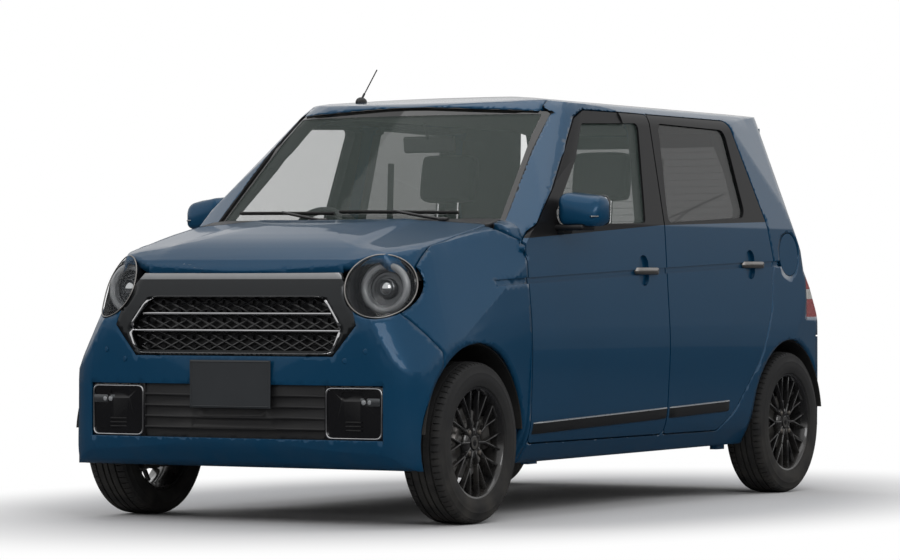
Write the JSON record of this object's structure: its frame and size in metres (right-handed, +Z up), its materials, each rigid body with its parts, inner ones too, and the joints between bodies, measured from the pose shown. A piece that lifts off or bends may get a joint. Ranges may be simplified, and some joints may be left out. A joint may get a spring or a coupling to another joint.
{
  "type": "kei car",
  "caption": "Small upright five-door car with round lamps, four hinged doors, tailgate, bonnet, steering and free-turning wheels.",
  "frame": {"origin": "on the ground under the middle of the car", "axes": "+X forward, +Y to the car's left, +Z up"},
  "size_m": [3.395, 1.776, 1.6529],
  "materials": {
    "body_paint": "gloss metallic",
    "clear_glass": "clear",
    "dark_glass": "privacy tint",
    "black_plastic": "moulded",
    "grey_trim": "satin",
    "lamp_lens": "clear",
    "red_lens": "clear red",
    "underbody": "matt",
    "engine_alloy": "cast",
    "exhaust_steel": "plain",
    "seat_fabric": "woven",
    "plate": "satin",
    "cast_parts": "machined",
    "black_wheel": "gloss",
    "tyre": "rubber"
  },
  "bodies": {
    "root": {"side_left": "body_paint", "side_right": "body_paint", "roof_panel": "body_paint", "windscreen": "clear_glass", "cowl": "black_plastic", "floor_pan": "underbody", "front_frame": "underbody", "front_fenders": "body_paint", "front_bumper": "body_paint", "grille_mask": "grey_trim", "grille": "grey_trim", "lower_grille": "black_plastic", "fog_bezels": "black_plastic", "headlamps": "lamp_lens", "tail_lamps": "red_lens", "rear_bumper": "body_paint", "front_subframe": "underbody", "rear_axle": "underbody", "engine_block": "engine_alloy", "dashboard": "black_plastic", "front_seats": "seat_fabric", "rear_seat": "seat_fabric", "exhaust": "exhaust_steel", "fuel_tank": "black_plastic", "front_wheel_liners": "black_plastic", "rear_wheel_liners": "black_plastic", "antenna": "black_plastic", "plate_front": "plate"},
    "bonnet": {"bonnet": "body_paint"},
    "tailgate": {"tailgate": "body_paint", "tailgate_glass": "dark_glass", "spoiler": "body_paint", "plate_rear": "plate"},
    "door_front_left": {"door_front_left": "body_paint", "glass_front_left": "clear_glass", "mirror_left": "body_paint"},
    "door_front_right": {"door_front_right": "body_paint", "glass_front_right": "clear_glass", "mirror_right": "body_paint"},
    "door_rear_left": {"door_rear_left": "body_paint", "glass_rear_left": "dark_glass"},
    "door_rear_right": {"door_rear_right": "body_paint", "glass_rear_right": "dark_glass"},
    "fuel_lid": {"fuel_lid": "body_paint"},
    "steering_wheel": {"steering_wheel": "black_plastic"},
    "knuckle_left": {"knuckle_left": "cast_parts"},
    "knuckle_right": {"knuckle_right": "cast_parts"},
    "wheel_front_left": {"rim_front_left": "black_wheel", "tyre_front_left": "tyre"},
    "wheel_front_right": {"rim_front_right": "black_wheel", "tyre_front_right": "tyre"},
    "wheel_rear_left": {"rim_rear_left": "black_wheel", "tyre_rear_left": "tyre"},
    "wheel_rear_right": {"rim_rear_right": "black_wheel", "tyre_rear_right": "tyre"}
  },
  "joints": [
    {"name": "door_front_left_hinge", "type": "hinge", "parent": "root", "child": "door_front_left", "pos_m": [0.888, 0.7375, 0.6], "axis": [0, 0.033, -0.9995], "range_deg": [0, 65]},
    {"name": "door_rear_left_hinge", "type": "hinge", "parent": "root", "child": "door_rear_left", "pos_m": [-0.209, 0.7375, 0.6], "axis": [0, 0.033, -0.9995], "range_deg": [0, 70]},
    {"name": "door_front_right_hinge", "type": "hinge", "parent": "root", "child": "door_front_right", "pos_m": [0.888, -0.7375, 0.6], "axis": [0, 0.033, 0.9995], "range_deg": [0, 65]},
    {"name": "door_rear_right_hinge", "type": "hinge", "parent": "root", "child": "door_rear_right", "pos_m": [-0.209, -0.7375, 0.6], "axis": [0, 0.033, 0.9995], "range_deg": [0, 70]},
    {"name": "tailgate_hinge", "type": "hinge", "parent": "root", "child": "tailgate", "pos_m": [-1.392, 0, 1.491], "axis": [0, 1, 0], "range_deg": [0, 80]},
    {"name": "bonnet_hinge", "type": "hinge", "parent": "root", "child": "bonnet", "pos_m": [0.955, 0, 1.058], "axis": [0, -1, 0], "range_deg": [0, 50]},
    {"name": "fuel_lid_hinge", "type": "hinge", "parent": "root", "child": "fuel_lid", "pos_m": [-1.17, 0.7, 0.95], "axis": [0, 0, -1], "range_deg": [0, 85]},
    {"name": "steer_left", "type": "hinge", "parent": "root", "child": "knuckle_left", "pos_m": [1.2435, 0.59, 0.2], "axis": [0, -0.1961, 0.9806], "range_deg": [-33, 33]},
    {"name": "steer_right", "type": "hinge", "parent": "root", "child": "knuckle_right", "pos_m": [1.2435, -0.59, 0.2], "axis": [0, 0.1961, 0.9806], "range_deg": [-33, 33]},
    {"name": "steering_wheel_turn", "type": "hinge", "parent": "root", "child": "steering_wheel", "pos_m": [0.47, -0.33, 0.96], "axis": [-0.8829, 0, 0.4695], "range_deg": [-495, 495]},
    {"name": "wheel_front_left_spin", "type": "hinge", "parent": "knuckle_left", "child": "wheel_front_left", "pos_m": [1.2435, 0.6525, 0.281], "axis": [0, 1, 0], "continuous": true},
    {"name": "wheel_front_right_spin", "type": "hinge", "parent": "knuckle_right", "child": "wheel_front_right", "pos_m": [1.2435, -0.6525, 0.281], "axis": [0, 1, 0], "continuous": true},
    {"name": "wheel_rear_left_spin", "type": "hinge", "parent": "root", "child": "wheel_rear_left", "pos_m": [-1.2765, 0.6525, 0.281], "axis": [0, 1, 0], "continuous": true},
    {"name": "wheel_rear_right_spin", "type": "hinge", "parent": "root", "child": "wheel_rear_right", "pos_m": [-1.2765, -0.6525, 0.281], "axis": [0, 1, 0], "continuous": true}
  ],
  "couplings": [
    {"joint": "steer_right", "follows": "steer_left", "ratio": 1},
    {"joint": "steering_wheel_turn", "follows": "steer_left", "ratio": 15}
  ]
}
